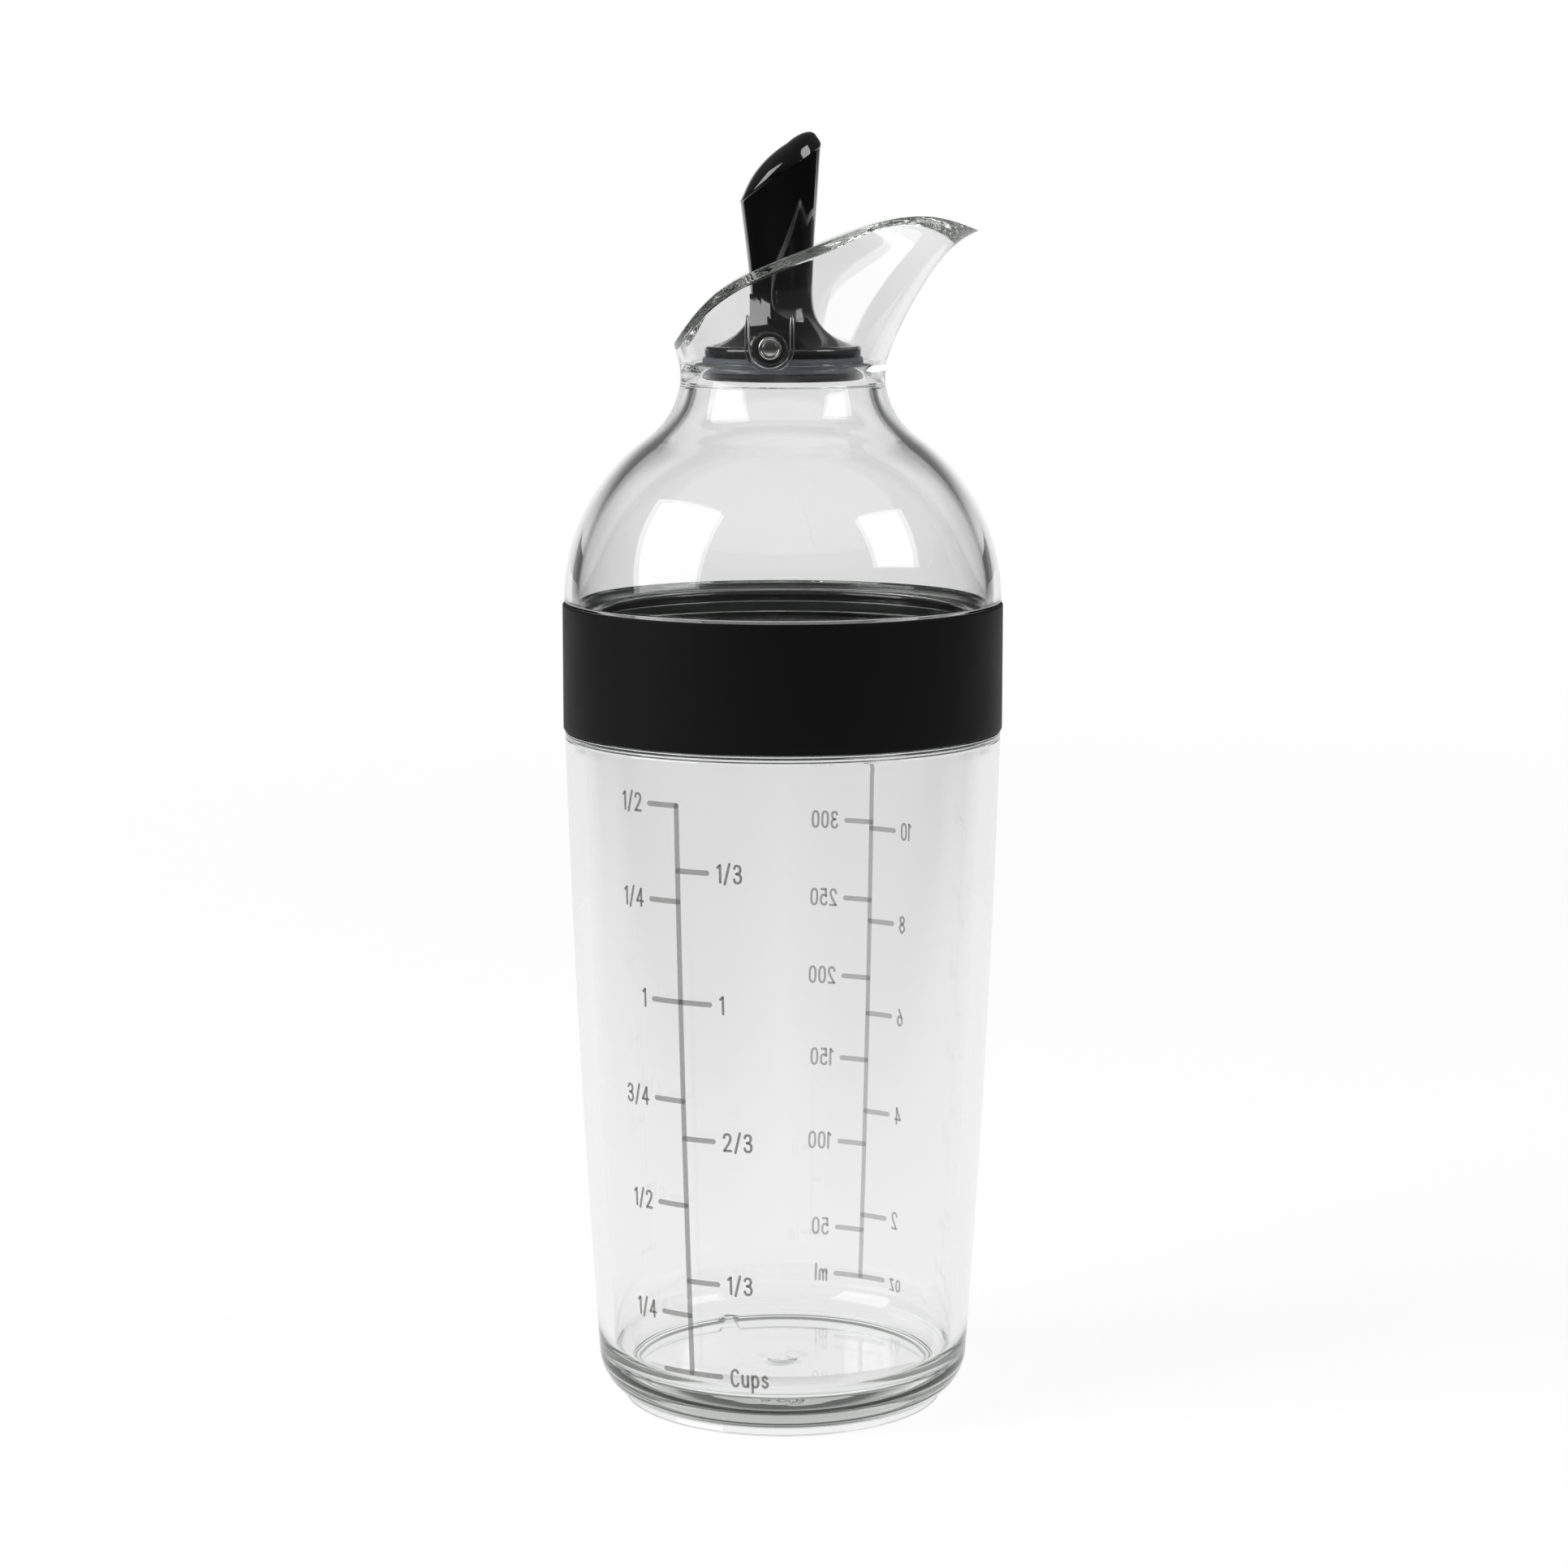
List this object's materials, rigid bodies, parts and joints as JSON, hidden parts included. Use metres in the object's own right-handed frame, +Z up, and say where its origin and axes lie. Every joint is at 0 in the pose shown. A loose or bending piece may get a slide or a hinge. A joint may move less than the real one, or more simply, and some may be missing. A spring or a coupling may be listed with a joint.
{
  "type": "salad dressing shaker bottle",
  "caption": "Clear measuring cup with a screw-on domed lid, soft black grip band and pouring spout, closed by a tipping lever with a sealed stopper.",
  "frame": {"origin": "middle of the foot ring's underside, on the table", "axes": "+Z up along the bottle's axis, +X towards the spout's tip"},
  "size_m": [0.0754, 0.0754, 0.219],
  "materials": {
    "clear_copolyester": "clear, moulded and polished",
    "black_elastomer": "matt, fine grain",
    "black_gloss_plastic": "moulded, high gloss",
    "grey_silicone": "satin",
    "stainless_steel": "bright turned"
  },
  "bodies": {
    "cup_body": {"cup": "clear_copolyester"},
    "gasket_ring": {"lid_gasket": "grey_silicone"},
    "lid": {"lid_dome": "clear_copolyester", "grip_band": "black_elastomer", "pour_spout": "clear_copolyester"},
    "tip_lever": {"lever": "black_gloss_plastic", "lever_cap": "black_gloss_plastic", "stopper_seal": "grey_silicone", "seal_retainer": "black_gloss_plastic", "hinge_pin": "stainless_steel"}
  },
  "joints": [
    {"name": "lid_lift", "type": "slide", "parent": "cup_body", "child": "gasket_ring", "axis": [0, 0, 1], "range_m": [0, 0.00626]},
    {"name": "lid_turn", "type": "hinge", "parent": "gasket_ring", "child": "lid", "pos_m": [0, 0, 0.1286], "axis": [0, 0, 1], "range_deg": [0, 450]},
    {"name": "lever_tip", "type": "hinge", "parent": "lid", "child": "tip_lever", "pos_m": [-0.00214, 0, 0.1833], "axis": [0, -1, 0], "range_deg": [0, 55]}
  ],
  "couplings": [
    {"joint": "lid_lift", "follows": "lid_turn", "m_per_rad": 0.00079577}
  ]
}
